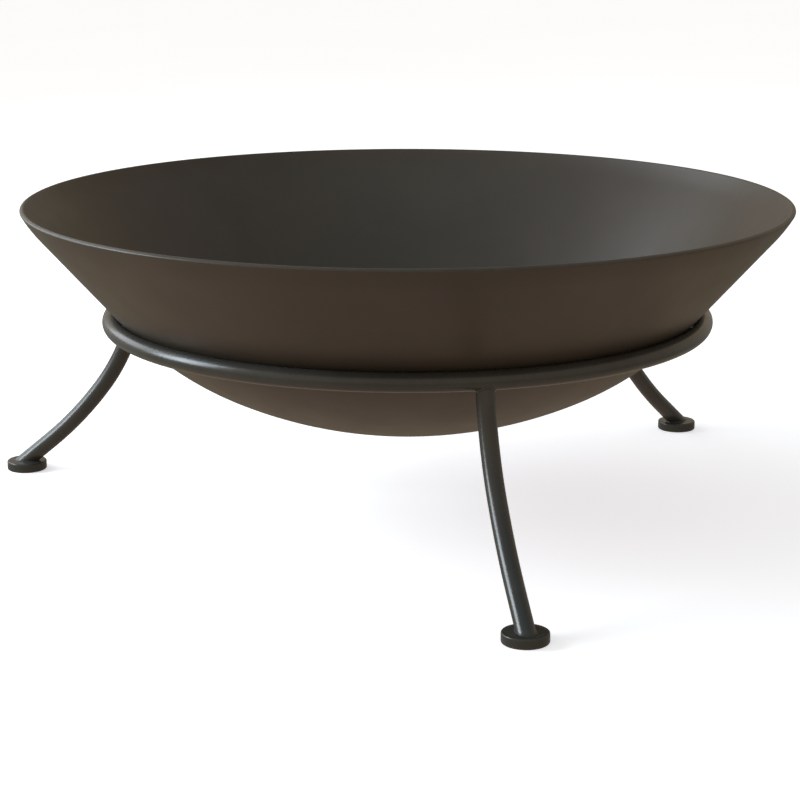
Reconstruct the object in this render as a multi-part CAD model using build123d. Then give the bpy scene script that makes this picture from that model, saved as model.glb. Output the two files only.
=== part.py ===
from build123d import *

import os
from math import cos, radians, sin, tan

# A fire bowl that rests loosely in a ring stand on three curved legs. Millimetres, +Z up.
# The origin is on the floor under the centre of the bowl, and the front leg points along -Y.

# Bowl: one sheet spun into a dish. Its section leaves the axis level and is four tangent
# stretches: a spherical floor, a knuckle, a straight flank and a lip that turns steeper.
RIM_RADIUS = 350.0
WALL = 4.5
FLOOR_RADIUS = 403.0
FLOOR_EDGE_SLOPE = 26.3
KNUCKLE_RADIUS = 275.0
FLANK_SLOPE = 48.6
LIP_RADIUS = 120.0
RIM_SLOPE = 60.4
RIM_ROUNDING = 1.5

# Stand: a ring and three legs, all of the same round bar.
BAR_RADIUS = 8.0
RING_RADIUS = 271.4
RING_HEIGHT = 180.0
SEAT_GAP = 0.3

# Leg: from square under the ring it bends outwards in two arcs and ends straight. Slopes are
# in degrees from the vertical.
LEG_TOP_RADIUS = 270.0
LEG_TOP_DROP = 4.5
LEG_TOP_SLOPE = 11.5
UPPER_BEND_RADIUS = 205.0
MIDDLE_SLOPE = 38.0
LOWER_BEND_RADIUS = 380.0
LEG_FOOT_SLOPE = 50.5

# Foot: a plain round disc that the leg stands on.
FOOT_RADIUS = 19.3
FOOT_THICKNESS = 9.0
FOOT_ROUNDING = 1.5

# Fillet welds between ring and leg, and between leg and foot.
RING_WELD = 2.0
RING_WELD_LENGTH = 6.0
FOOT_WELD = 1.8
WELD_TOE = 0.3

LEG_DIRECTIONS = {"front": -90, "right": 30, "left": 150}


def arc_reach(radius, start_slope, end_slope):
    """How far out and up an arc goes while its slope grows from one angle to the other."""
    start, end = radians(start_slope), radians(end_slope)
    return radius * (sin(end) - sin(start)), radius * (cos(start) - cos(end))


# Where the flank starts, above the lowest point of the bowl, and how long it is.
floor_out, floor_up = arc_reach(FLOOR_RADIUS, 0, FLOOR_EDGE_SLOPE)
knuckle_out, knuckle_up = arc_reach(KNUCKLE_RADIUS, FLOOR_EDGE_SLOPE, FLANK_SLOPE)
lip_out, _ = arc_reach(LIP_RADIUS, FLANK_SLOPE, RIM_SLOPE)
flank_out = RIM_RADIUS - floor_out - knuckle_out - lip_out
flank_length = flank_out / cos(radians(FLANK_SLOPE))

# The ring's centre lies outside the flank by the bar's radius and the seat's gap. That sets
# how high the bowl sits.
ring_offset = BAR_RADIUS + SEAT_GAP
seat_out = RING_RADIUS - floor_out - knuckle_out - ring_offset * sin(radians(FLANK_SLOPE))
seat_up = floor_up + knuckle_up + seat_out * tan(radians(FLANK_SLOPE))
bowl_bottom = RING_HEIGHT - seat_up + ring_offset * cos(radians(FLANK_SLOPE))


def sheet_face(inset):
    """One face of the bowl's sheet in section, inset from the outside: floor to rim."""
    floor = JernArc((0, inset), (1, 0), FLOOR_RADIUS - inset, FLOOR_EDGE_SLOPE)
    turn = FLANK_SLOPE - FLOOR_EDGE_SLOPE
    knuckle = JernArc(floor @ 1, floor % 1, KNUCKLE_RADIUS - inset, turn)
    flank = Line(knuckle @ 1, knuckle @ 1 + (knuckle % 1) * flank_length)
    lip = JernArc(flank @ 1, flank % 1, LIP_RADIUS - inset, RIM_SLOPE - FLANK_SLOPE)
    return Wire([floor, knuckle, flank, lip])


def fire_bowl():
    outside, inside = sheet_face(0), sheet_face(WALL)
    rim_edge = Line(outside @ 1, inside @ 1)
    on_axis = Line(outside @ 0, inside @ 0)
    section = make_face([outside, rim_edge, inside, on_axis])
    rim_corners = section.vertices().sort_by(Axis.X)[-2:]
    section = fillet(rim_corners, RIM_ROUNDING)
    return Pos(Z=bowl_bottom) * revolve(Plane.XZ * section, axis=Axis.Z)


def support_ring(bar_radius=BAR_RADIUS):
    return Pos(Z=RING_HEIGHT) * Torus(RING_RADIUS, bar_radius)


def leg_line():
    """The leg's centre line, in the XZ plane, to where it meets the top of its foot."""
    slope = radians(LEG_TOP_SLOPE)
    top = (LEG_TOP_RADIUS, RING_HEIGHT - LEG_TOP_DROP)
    upper = JernArc(top, (sin(slope), -cos(slope)), UPPER_BEND_RADIUS, MIDDLE_SLOPE - LEG_TOP_SLOPE)
    lower = JernArc(upper @ 1, upper % 1, LOWER_BEND_RADIUS, LEG_FOOT_SLOPE - MIDDLE_SLOPE)
    drop = (lower @ 1).Y - FOOT_THICKNESS
    straight = Line(lower @ 1, lower @ 1 + (lower % 1) * (drop / -(lower % 1).Y))
    return Plane.XZ * Wire([upper, lower, straight])


centre_line = leg_line()
foot_centre = centre_line @ 1


def bar_along(line, past_end):
    """Round bar along a line, running straight on past the end."""
    section = Plane(origin=line @ 0, z_dir=line % 0) * Circle(BAR_RADIUS)
    tail = Line(line @ 1, line @ 1 + (line % 1) * past_end)
    return sweep(section, path=Wire([*line.edges(), tail]))


def leg():
    """The bar is fish-mouthed to the ring's underside and cut level on top of its foot."""
    bar = bar_along(centre_line, 2 * BAR_RADIUS)
    return split(bar - support_ring(), bisect_by=Plane.XY.offset(FOOT_THICKNESS), keep=Keep.TOP)


def foot():
    disc = Pos(foot_centre.X, 0, FOOT_THICKNESS / 2) * Cylinder(FOOT_RADIUS, FOOT_THICKNESS)
    return fillet(disc.edges().filter_by(GeomType.CIRCLE), FOOT_ROUNDING)


def ring_weld(leg_bar):
    """A collar round the top of the leg, flaring until it meets the ring."""
    up_the_leg = Plane(origin=centre_line @ 0, z_dir=-(centre_line % 0))
    toe_radius = BAR_RADIUS + WELD_TOE
    collar = Cone(toe_radius, BAR_RADIUS + RING_WELD, RING_WELD_LENGTH)
    collar = up_the_leg * Pos(Z=-RING_WELD_LENGTH / 2) * collar
    return (collar & support_ring(BAR_RADIUS + RING_WELD)) - support_ring() - leg_bar


def foot_weld(leg_bar):
    """A bead round the leg's slanting footprint, leaning with the leg."""
    lean = radians(LEG_FOOT_SLOPE)
    long_radius = BAR_RADIUS / cos(lean)
    base = Pos(foot_centre) * Ellipse(long_radius + FOOT_WELD, BAR_RADIUS + FOOT_WELD)
    lifted = Pos(foot_centre.X - FOOT_WELD * tan(lean), 0, FOOT_THICKNESS + FOOT_WELD)
    top = lifted * Ellipse(long_radius + WELD_TOE, BAR_RADIUS + WELD_TOE)
    return loft([base, top], ruled=True) - leg_bar


bowl = fire_bowl()
leg_bar = leg()
leg_group = {
    "leg": leg_bar,
    "foot": foot(),
    "ring_weld": ring_weld(leg_bar),
    "foot_weld": foot_weld(leg_bar),
}

os.makedirs("parts", exist_ok=True)
export_step(bowl, "parts/fire_bowl.step")
export_step(support_ring(), "parts/support_ring.step")
for place, direction in LEG_DIRECTIONS.items():
    for name, shape in leg_group.items():
        export_step(Rot(Z=direction) * shape, f"parts/{name}_{place}.step")

print("rim height", round(bowl.bounding_box().max.Z, 2))
print("foot circle radius", round(foot_centre.X, 2))
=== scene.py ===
"""Looks for the fire bowl on its ring stand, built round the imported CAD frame. Metres, +Z up."""

from math import cos, degrees, pi, radians, sin

import bmesh
import bpy
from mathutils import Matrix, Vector


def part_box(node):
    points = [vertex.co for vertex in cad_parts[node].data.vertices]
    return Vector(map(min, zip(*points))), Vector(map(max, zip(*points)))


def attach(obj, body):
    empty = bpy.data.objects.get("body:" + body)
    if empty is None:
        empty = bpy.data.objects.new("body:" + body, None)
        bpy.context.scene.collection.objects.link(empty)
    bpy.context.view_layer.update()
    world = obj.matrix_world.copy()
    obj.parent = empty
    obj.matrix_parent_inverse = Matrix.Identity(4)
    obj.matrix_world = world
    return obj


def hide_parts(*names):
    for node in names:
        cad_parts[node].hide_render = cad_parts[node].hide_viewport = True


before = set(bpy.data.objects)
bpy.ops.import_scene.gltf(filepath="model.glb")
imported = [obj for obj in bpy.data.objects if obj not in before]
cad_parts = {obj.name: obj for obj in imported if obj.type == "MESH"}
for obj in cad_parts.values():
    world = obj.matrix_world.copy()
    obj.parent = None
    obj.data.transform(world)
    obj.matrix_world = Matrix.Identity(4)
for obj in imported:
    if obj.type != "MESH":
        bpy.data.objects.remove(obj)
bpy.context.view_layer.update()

MM = 0.001
UP = Vector((0, 0, 1))

# ---------------------------------------------------------------- sizes, from the frame
bowl_low, bowl_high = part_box("fire_bowl")
ring_low, ring_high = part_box("support_ring")
foot_low, foot_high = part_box("foot_front")

BAR_RADIUS = (ring_high.z - ring_low.z) / 2
RING_RADIUS = ring_high.x - BAR_RADIUS
RING_HEIGHT = (ring_high.z + ring_low.z) / 2
FOOT_THICKNESS = foot_high.z - foot_low.z
FOOT_RADIUS = (foot_high.y - foot_low.y) / 2
FOOT_CIRCLE = -(foot_high.y + foot_low.y) / 2
LEG_DIRECTIONS = {"front": radians(-90), "right": radians(30), "left": radians(150)}

# The bowl's section: radii in metres, slopes in degrees from the horizontal.
WALL = 4.5 * MM
FLOOR_RADIUS, FLOOR_EDGE_SLOPE = 403 * MM, 26.3
KNUCKLE_RADIUS, FLANK_SLOPE = 275 * MM, 48.6
LIP_RADIUS, RIM_SLOPE = 120 * MM, 60.4
RIM_RADIUS = 350 * MM
RIM_ROUNDING = 1.5 * MM

# The leg's centre line: slopes in degrees from the vertical.
LEG_TOP = (270 * MM, RING_HEIGHT - 4.5 * MM)
LEG_TOP_SLOPE, MIDDLE_SLOPE, LEG_FOOT_SLOPE = 11.5, 38.0, 50.5
UPPER_BEND_RADIUS, LOWER_BEND_RADIUS = 205 * MM, 380 * MM

FOOT_ROUNDING = 1.5 * MM
COAT = 0.29 * MM  # on the ring, where it closes the seat's gap under the bowl
RING_BEAD, FOOT_BEAD = 1.3 * MM, 0.8 * MM
RING_RIPPLES, FOOT_RIPPLES, RIPPLE_DEPTH = 22, 26, 0.1

# How finely the meshes are divided.
BOWL_SEGMENTS, RING_SEGMENTS, FOOT_SEGMENTS, STUDIO_SEGMENTS = 240, 288, 72, 96
BAR_SIDES, BEAD_SIDES, BEAD_SEGMENTS = 32, 12, 144
FLOOR_STEPS, KNUCKLE_STEPS, FLANK_STEPS, LIP_STEPS, CORNER_STEPS = 26, 20, 12, 8, 6
UPPER_BEND_STEPS, LOWER_BEND_STEPS, LEG_END_STEPS = 24, 18, 8
FOOT_FLAT_STEPS, FOOT_SIDE_STEPS, SWEEP_STEPS = 4, 2, 16
SEARCH_STEP = 0.05 * MM
SHARP_FOLD = radians(40)  # edges that fold more than this are not shaded smooth


# ---------------------------------------------------------------- outlines
class Pen:
    """Draws tangent arcs and straight runs in a plane. Angles in degrees from the first axis."""

    def __init__(self, x, y, angle):
        self.points, self.angle = [(x, y)], radians(angle)

    def run(self, length, steps=1):
        x, y = self.points[-1]
        for i in range(1, steps + 1):
            reach = length * i / steps
            self.points.append((x + reach * cos(self.angle), y + reach * sin(self.angle)))

    def arc(self, radius, end_angle, steps):
        """Turns to the end angle round a centre on the side it turns towards."""
        x, y = self.points[-1]
        start, end = self.angle, radians(end_angle)
        side = 1 if end > start else -1
        for i in range(1, steps + 1):
            a = start + (end - start) * i / steps
            self.points.append((x + side * radius * (sin(a) - sin(start)),
                                y - side * radius * (cos(a) - cos(start))))
        self.angle = end


def arc_reach(radius, start, end):
    return radius * (sin(radians(end)) - sin(radians(start)))


FLANK_LENGTH = (RIM_RADIUS - arc_reach(FLOOR_RADIUS, 0, FLOOR_EDGE_SLOPE)
                - arc_reach(KNUCKLE_RADIUS, FLOOR_EDGE_SLOPE, FLANK_SLOPE)
                - arc_reach(LIP_RADIUS, FLANK_SLOPE, RIM_SLOPE)) / cos(radians(FLANK_SLOPE))


def sheet_face(inset, short_of_rim):
    """One face of the bowl's sheet, from the axis to just short of the rim's rounded corner."""
    pen = Pen(0, bowl_low.z + inset, 0)
    pen.arc(FLOOR_RADIUS - inset, FLOOR_EDGE_SLOPE, FLOOR_STEPS)
    pen.arc(KNUCKLE_RADIUS - inset, FLANK_SLOPE, KNUCKLE_STEPS)
    pen.run(FLANK_LENGTH, FLANK_STEPS)
    lip = LIP_RADIUS - inset
    pen.arc(lip, RIM_SLOPE - degrees(short_of_rim / lip), LIP_STEPS)
    return pen


def bowl_outline():
    """The whole section, up the outside, over the rounded rim and down the inside."""
    outside = sheet_face(0, RIM_ROUNDING)
    inside = sheet_face(WALL, RIM_ROUNDING)
    outside.arc(RIM_ROUNDING, RIM_SLOPE + 90, CORNER_STEPS)
    outside.run(WALL - 2 * RIM_ROUNDING)
    outside.arc(RIM_ROUNDING, RIM_SLOPE + 180, CORNER_STEPS)
    return outside.points + inside.points[::-1]


def foot_outline():
    pen = Pen(0, 0, 0)
    pen.run(FOOT_RADIUS - FOOT_ROUNDING, FOOT_FLAT_STEPS)
    pen.arc(FOOT_ROUNDING, 90, CORNER_STEPS)
    pen.run(FOOT_THICKNESS - 2 * FOOT_ROUNDING, FOOT_SIDE_STEPS)
    pen.arc(FOOT_ROUNDING, 180, CORNER_STEPS)
    pen.run(FOOT_RADIUS - FOOT_ROUNDING, FOOT_FLAT_STEPS)
    return pen.points


def leg_line():
    """Points of the leg's centre line in its own upright plane, from the ring to the foot."""
    pen = Pen(*LEG_TOP, LEG_TOP_SLOPE - 90)
    pen.arc(UPPER_BEND_RADIUS, MIDDLE_SLOPE - 90, UPPER_BEND_STEPS)
    pen.arc(LOWER_BEND_RADIUS, LEG_FOOT_SLOPE - 90, LOWER_BEND_STEPS)
    drop = pen.points[-1][1] - FOOT_THICKNESS
    pen.run(drop / cos(radians(LEG_FOOT_SLOPE)), LEG_END_STEPS)
    return pen.points


# ---------------------------------------------------------------- meshes
def new_piece(name, mesh_maker):
    mesh = bmesh.new()
    mesh_maker(mesh)
    bmesh.ops.recalc_face_normals(mesh, faces=mesh.faces)
    for edge in mesh.edges:
        edge.smooth = edge.calc_face_angle(0.0) < SHARP_FOLD
    data = bpy.data.meshes.new(name)
    mesh.to_mesh(data)
    mesh.free()
    data.shade_smooth()
    piece = bpy.data.objects.new(name, data)
    bpy.context.scene.collection.objects.link(piece)
    return piece


def join_rings(mesh, rings, closed=False):
    """Skins a list of equal rings of vertices with quads, joining the last to the first if closed."""
    count = len(rings[0])
    pairs = list(zip(rings, rings[1:])) + ([(rings[-1], rings[0])] if closed else [])
    for a, b in pairs:
        for i in range(count):
            j = (i + 1) % count
            mesh.faces.new((a[i], a[j], b[j], b[i]))


def lathe(mesh, outline, segments, centre=(0, 0)):
    """Turns an outline that starts and ends on the axis round the Z axis through centre."""
    rings = []
    for radius, height in outline[1:-1]:
        angles = (2 * pi * i / segments for i in range(segments))
        rings.append([mesh.verts.new((centre[0] + radius * cos(a), centre[1] + radius * sin(a), height))
                      for a in angles])
    join_rings(mesh, rings)
    for (_, height), ring in ((outline[0], rings[0]), (outline[-1], rings[-1])):
        pole = mesh.verts.new((*centre, height))
        for i in range(segments):
            mesh.faces.new((pole, ring[i], ring[(i + 1) % segments]))


def tube(mesh, sections, closed=False):
    """Skins rings of points; an open tube is capped at both ends."""
    rings = [[mesh.verts.new(point) for point in section] for section in sections]
    join_rings(mesh, rings, closed)
    if not closed:
        mesh.faces.new(rings[0])
        mesh.faces.new(rings[-1])


def circle_points(centre, side, up, radius, count):
    return [centre + radius * (cos(2 * pi * i / count) * side + sin(2 * pi * i / count) * up)
            for i in range(count)]


# ---------------------------------------------------------------- pieces
def make_bowl():
    return new_piece("bowl_shell", lambda mesh: lathe(mesh, bowl_outline(), BOWL_SEGMENTS))


def make_ring():
    sections = []
    for i in range(RING_SEGMENTS):
        a = 2 * pi * i / RING_SEGMENTS
        out = Vector((cos(a), sin(a), 0))
        centre = RING_RADIUS * out + RING_HEIGHT * UP
        sections.append(circle_points(centre, out, UP, BAR_RADIUS + COAT, BAR_SIDES))
    return new_piece("ring_bar", lambda mesh: tube(mesh, sections, closed=True))


def leg_frame(place):
    """Unit vectors of a leg's upright plane: outwards, and across it."""
    a = LEG_DIRECTIONS[place]
    return Vector((cos(a), sin(a), 0)), Vector((-sin(a), cos(a), 0))


def leg_sections(place):
    """Rings of points along the leg. The last ring is sheared to lie level on top of the foot."""
    out, across = leg_frame(place)
    line = [out * r + UP * z for r, z in leg_line()]
    sections = []
    for i, centre in enumerate(line):
        along = (line[min(i + 1, len(line) - 1)] - line[max(i - 1, 0)]).normalized()
        side = along.cross(across)
        section = circle_points(centre, side, across, BAR_RADIUS, BAR_SIDES)
        if i == len(line) - 1:
            section = [p - along * ((p.z - FOOT_THICKNESS) / along.z) for p in section]
        sections.append(section)
    return sections


def make_leg(place):
    sections = leg_sections(place)
    clear = [s for s in sections[:-1] if min(p.z for p in s) > FOOT_THICKNESS + 1 * MM]
    return new_piece(f"leg_bar_{place}", lambda mesh: tube(mesh, clear + sections[-1:]))


def make_foot(place):
    out, _ = leg_frame(place)
    x, y, _ = out * FOOT_CIRCLE
    return new_piece(f"foot_disc_{place}",
                     lambda mesh: lathe(mesh, foot_outline(), FOOT_SEGMENTS, (x, y)))


def bead(name, path, radius, ripples):
    """A weld bead: a round thread along a closed path, thicker at each ripple of the weld."""
    count = len(path)
    sections = []
    for i, centre in enumerate(path):
        along = (path[(i + 1) % count] - path[i - 1]).normalized()
        side = along.cross(UP).normalized()
        wave = ripples * i / count
        thickness = radius * (1 + RIPPLE_DEPTH * (0.5 - abs(2 * (wave % 1) - 1)))
        sections.append(circle_points(centre, side, side.cross(along), thickness, BEAD_SIDES))
    return new_piece(name, lambda mesh: tube(mesh, sections, closed=True))


def distance_to_ring(point):
    return Vector((Vector((point.x, point.y)).length - RING_RADIUS, point.z - RING_HEIGHT)).length


def make_ring_bead(place):
    """Follows the line where the leg's round side meets the ring, or the leg's cut end beside it."""
    out, across = leg_frame(place)
    slope = radians(LEG_TOP_SLOPE)
    along = out * sin(slope) - UP * cos(slope)
    side = along.cross(across)
    top = out * LEG_TOP[0] + UP * LEG_TOP[1]
    path = []
    for start in circle_points(top, side, across, BAR_RADIUS, BEAD_SEGMENTS):
        down = 0.0
        while distance_to_ring(start + along * down) < BAR_RADIUS and down < BAR_RADIUS:
            down += SEARCH_STEP
        point = start + along * down
        if down == 0.0:
            ring_centre = Vector((point.x, point.y, 0)).normalized() * RING_RADIUS + UP * RING_HEIGHT
            point = point.lerp(ring_centre + (point - ring_centre).normalized() * BAR_RADIUS, 0.5)
        path.append(point)
    return bead(f"ring_bead_{place}", path, RING_BEAD, RING_RIPPLES)


def make_foot_bead(place):
    """Follows the leg's slanting footprint on the foot."""
    outline = leg_sections(place)[-1]
    centre = sum(outline, Vector()) / len(outline)
    out, across = leg_frame(place)
    long_radius = BAR_RADIUS / cos(radians(LEG_FOOT_SLOPE))
    angles = (2 * pi * i / BEAD_SEGMENTS for i in range(BEAD_SEGMENTS))
    path = [centre + out * long_radius * cos(a) + across * BAR_RADIUS * sin(a) for a in angles]
    return bead(f"foot_bead_{place}", path, FOOT_BEAD, FOOT_RIPPLES)


# ---------------------------------------------------------------- materials
class Nodes:
    """A few short words for building a material's node tree."""

    def __init__(self, name):
        self.material = bpy.data.materials.new(name)
        self.material.use_nodes = True
        self.tree = self.material.node_tree
        self.shader = self.tree.nodes["Principled BSDF"]
        self.place = self.add("ShaderNodeTexCoord").outputs["Object"]

    def add(self, kind, inputs=None, **settings):
        node = self.tree.nodes.new(kind)
        for key, value in settings.items():
            setattr(node, key, value)
        for key, value in (inputs or {}).items():
            self.feed(value, node.inputs[key])
        return node

    def feed(self, value, socket):
        if isinstance(value, bpy.types.NodeSocket):
            self.tree.links.new(value, socket)
        else:
            socket.default_value = value

    def noise(self, scale, detail=3.0, roughness=0.5, distortion=0.0):
        node = self.add("ShaderNodeTexNoise", {"Vector": self.place, "Scale": scale, "Detail": detail,
                                               "Roughness": roughness, "Distortion": distortion})
        return node.outputs["Fac"]

    def between(self, value, low, high, to_low, to_high):
        """Maps low..high to to_low..to_high, smoothly and clamped."""
        node = self.add("ShaderNodeMapRange", {"Value": value, "From Min": low, "From Max": high,
                                               "To Min": to_low, "To Max": to_high},
                        interpolation_type="SMOOTHSTEP")
        return node.outputs["Result"]

    def maths(self, operation, a, b=0.0):
        return self.add("ShaderNodeMath", {0: a, 1: b}, operation=operation).outputs[0]

    def mix(self, factor, a, b):
        """Mixes two colours. The node has a socket of each name for every type it can mix."""
        node = self.add("ShaderNodeMix", data_type="RGBA")
        colour_a, colour_b, result = node.inputs[6], node.inputs[7], node.outputs[2]
        self.feed(factor, node.inputs[0])
        self.feed(a, colour_a)
        self.feed(b, colour_b)
        return result

    def set(self, **inputs):
        for name, value in inputs.items():
            self.feed(value, self.shader.inputs[name.replace("_", " ")])


def coat_bump(nodes, peel, grain):
    """Orange peel of a sprayed coat, with a fine grain on it. Heights in metres."""
    waves = nodes.add("ShaderNodeBump", {"Height": nodes.noise(210, detail=2), "Distance": peel,
                                         "Strength": 1.0})
    grains = nodes.add("ShaderNodeBump", {"Height": nodes.noise(1500, detail=2), "Distance": grain,
                                          "Strength": 1.0, "Normal": waves.outputs[0]})
    return grains.outputs[0]


def bowl_coat():
    """Dark brown satin coat over spun steel, a little worn along the rim."""
    nodes = Nodes("bowl_coat")
    cloud = nodes.maths("MULTIPLY", nodes.noise(7, detail=4, roughness=0.6, distortion=0.3), 0.8)
    speck = nodes.maths("MULTIPLY", nodes.noise(420, detail=2, roughness=0.6), 0.2)
    tone = nodes.between(nodes.maths("ADD", cloud, speck), 0.35, 0.65, 0.0, 1.0)
    colour = nodes.mix(tone, (0.043, 0.034, 0.026, 1), (0.052, 0.041, 0.032, 1))
    height = nodes.add("ShaderNodeSeparateXYZ", {"Vector": nodes.place}).outputs["Z"]
    near_rim = nodes.between(height, bowl_high.z - 5 * MM, bowl_high.z - 0.5 * MM, 0.0, 1.0)
    patchy = nodes.between(nodes.noise(60, detail=5, roughness=0.7), 0.42, 0.66, 0.0, 0.25)
    worn = nodes.maths("MULTIPLY", near_rim, patchy)
    colour = nodes.mix(worn, colour, (0.085, 0.070, 0.056, 1))
    roughness = nodes.between(nodes.noise(16, detail=5, roughness=0.6), 0.3, 0.7, 0.39, 0.45)
    nodes.set(Base_Color=colour, Roughness=roughness, Normal=coat_bump(nodes, 0.010 * MM, 0.004 * MM))
    nodes.shader.inputs["Specular IOR Level"].default_value = 0.43
    return nodes.material


def stand_coat():
    """Satin black coat on rolled bar."""
    nodes = Nodes("stand_coat")
    tone = nodes.between(nodes.noise(25, detail=4, roughness=0.6), 0.35, 0.65, 0.0, 1.0)
    colour = nodes.mix(tone, (0.032, 0.032, 0.030, 1), (0.040, 0.040, 0.038, 1))
    roughness = nodes.between(nodes.noise(40, detail=4, roughness=0.6), 0.3, 0.7, 0.24, 0.29)
    nodes.set(Base_Color=colour, Roughness=roughness, Normal=coat_bump(nodes, 0.0015 * MM, 0.001 * MM))
    nodes.shader.inputs["Specular IOR Level"].default_value = 0.45
    return nodes.material


def floor_material():
    """Near white, with some light of its own in place of a bright studio."""
    nodes = Nodes("pale_floor")
    tone = nodes.between(nodes.noise(1.5, detail=3), 0.3, 0.7, 0.0, 1.0)
    colour = nodes.mix(tone, (0.89, 0.89, 0.885, 1), (0.91, 0.91, 0.905, 1))
    nodes.set(Base_Color=colour, Roughness=0.9)
    nodes.shader.inputs["Emission Color"].default_value = (0.94, 0.94, 1, 1)
    nodes.shader.inputs["Emission Strength"].default_value = 0.58
    return nodes.material


# ---------------------------------------------------------------- assembly
BOWL_COAT, STAND_COAT = bowl_coat(), stand_coat()


def fit(piece, body, node, material):
    piece.data.materials.append(material)
    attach(piece, body)
    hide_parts(node)


fit(make_bowl(), "bowl", "fire_bowl", BOWL_COAT)
fit(make_ring(), "stand", "support_ring", STAND_COAT)
for place in LEG_DIRECTIONS:
    for make, node in ((make_leg, "leg"), (make_foot, "foot"),
                       (make_ring_bead, "ring_weld"), (make_foot_bead, "foot_weld")):
        fit(make(place), "stand", f"{node}_{place}", STAND_COAT)


# ---------------------------------------------------------------- floor, light and camera
# Light from all round: its colour by height, from straight down (-1) to straight up (1), and its
# level, brightest towards the front left and dimmest away from there.
SKY = ((-1.0, (0.45, 0.35, 0.30)), (-0.6, (0.45, 0.35, 0.25)), (-0.3, (0.25, 0.25, 0.20)),
       (0.0, (0.45, 0.40, 0.35)), (0.35, (0.55, 0.45, 0.30)), (0.7, (0.45, 0.40, 0.40)),
       (1.0, (0.25, 0.40, 0.40)))
STUDIO_MIDDLE, STUDIO_REACH, SWEEP_RADIUS = 0.5, 12.0, 8.0
BRIGHT_SIDE, BRIGHT_LEVEL, DIM_LEVEL = radians(-140), 1.35, 0.9


def make_floor():
    """A pale floor that curves up into a backdrop all round. Only the camera sees it."""
    profile = Pen(STUDIO_MIDDLE, 0, 0)
    profile.run(STUDIO_REACH)
    profile.arc(SWEEP_RADIUS, 90, SWEEP_STEPS)
    profile.run(SWEEP_RADIUS)

    def sweep(mesh):
        rings = []
        for radius, height in profile.points:
            angles = (2 * pi * i / STUDIO_SEGMENTS for i in range(STUDIO_SEGMENTS))
            rings.append([mesh.verts.new((radius * cos(a), radius * sin(a), height)) for a in angles])
        join_rings(mesh, rings)
        mesh.faces.new(rings[0])

    floor = new_piece("studio_floor", sweep)
    floor.data.materials.append(floor_material())
    floor.visible_diffuse = floor.visible_glossy = floor.visible_shadow = False


def softbox(name, azimuth, elevation, distance, width, height, power, colour):
    """An area light, unseen by the camera, that faces the ring's middle. Directions in degrees."""
    a, e = radians(azimuth), radians(elevation)
    away = Vector((cos(a) * cos(e), sin(a) * cos(e), sin(e)))
    light = bpy.data.lights.new(name, "AREA")
    light.shape, light.size, light.size_y = "RECTANGLE", width, height
    light.energy, light.color = power, colour
    lamp = bpy.data.objects.new(name, light)
    lamp.location = RING_HEIGHT * UP + away * distance
    lamp.rotation_mode = "QUATERNION"
    lamp.rotation_quaternion = away.to_track_quat("Z", "Y")
    lamp.visible_camera = False
    bpy.context.scene.collection.objects.link(lamp)


def make_world():
    """The soft light of SKY, with its level by direction."""
    world = bpy.data.worlds.new("studio")
    world.use_nodes = True
    tree = world.node_tree
    background = tree.nodes["Background"]
    direction = tree.nodes.new("ShaderNodeTexCoord").outputs["Generated"]
    split = tree.nodes.new("ShaderNodeSeparateXYZ")
    height = tree.nodes.new("ShaderNodeMapRange")
    height.inputs["From Min"].default_value = -1.0
    ramp = tree.nodes.new("ShaderNodeValToRGB")
    stops = ramp.color_ramp.elements
    while len(stops) < len(SKY):
        stops.new(0.5)
    for stop, (place, colour) in zip(stops, SKY):
        stop.position, stop.color = (place + 1) / 2, (*colour, 1)
    facing = tree.nodes.new("ShaderNodeVectorMath")
    facing.operation = "DOT_PRODUCT"
    facing.inputs[1].default_value = (cos(BRIGHT_SIDE), sin(BRIGHT_SIDE), 0)
    level = tree.nodes.new("ShaderNodeMapRange")
    level.inputs["From Min"].default_value = -1.0
    level.inputs["To Min"].default_value, level.inputs["To Max"].default_value = DIM_LEVEL, BRIGHT_LEVEL
    for source, target in ((direction, split.inputs[0]), (direction, facing.inputs[0]),
                           (split.outputs["Z"], height.inputs["Value"]),
                           (height.outputs["Result"], ramp.inputs[0]),
                           (facing.outputs["Value"], level.inputs["Value"]),
                           (ramp.outputs[0], background.inputs["Color"]),
                           (level.outputs["Result"], background.inputs["Strength"])):
        tree.links.new(source, target)
    bpy.context.scene.world = world


def make_camera():
    """Looks down 14 degrees on the bowl from 2 metres, with the front leg a little to the right."""
    camera = bpy.data.cameras.new("camera")
    camera.sensor_width, camera.lens = 36.0, 99.44
    seen_from, distance, height = radians(-13.47), 2.0005, 0.5963
    pan, pitch = radians(0.195), radians(13.987)
    tripod = bpy.data.objects.new("camera", camera)
    tripod.location = (distance * sin(seen_from), -distance * cos(seen_from), height)
    tripod.rotation_euler = (pi / 2 - pitch, 0, seen_from + pan)
    bpy.context.scene.collection.objects.link(tripod)
    bpy.context.scene.camera = tripod


make_floor()
make_world()
softbox("key", azimuth=169, elevation=20, distance=2.5, width=1.1, height=1.2,
        power=56, colour=(0.76, 0.87, 0.96))
softbox("fill", azimuth=132, elevation=24, distance=2.5, width=1.4, height=1.6,
        power=20, colour=(0.82, 0.92, 1.0))
make_camera()
bpy.context.scene.view_settings.view_transform = "Standard"
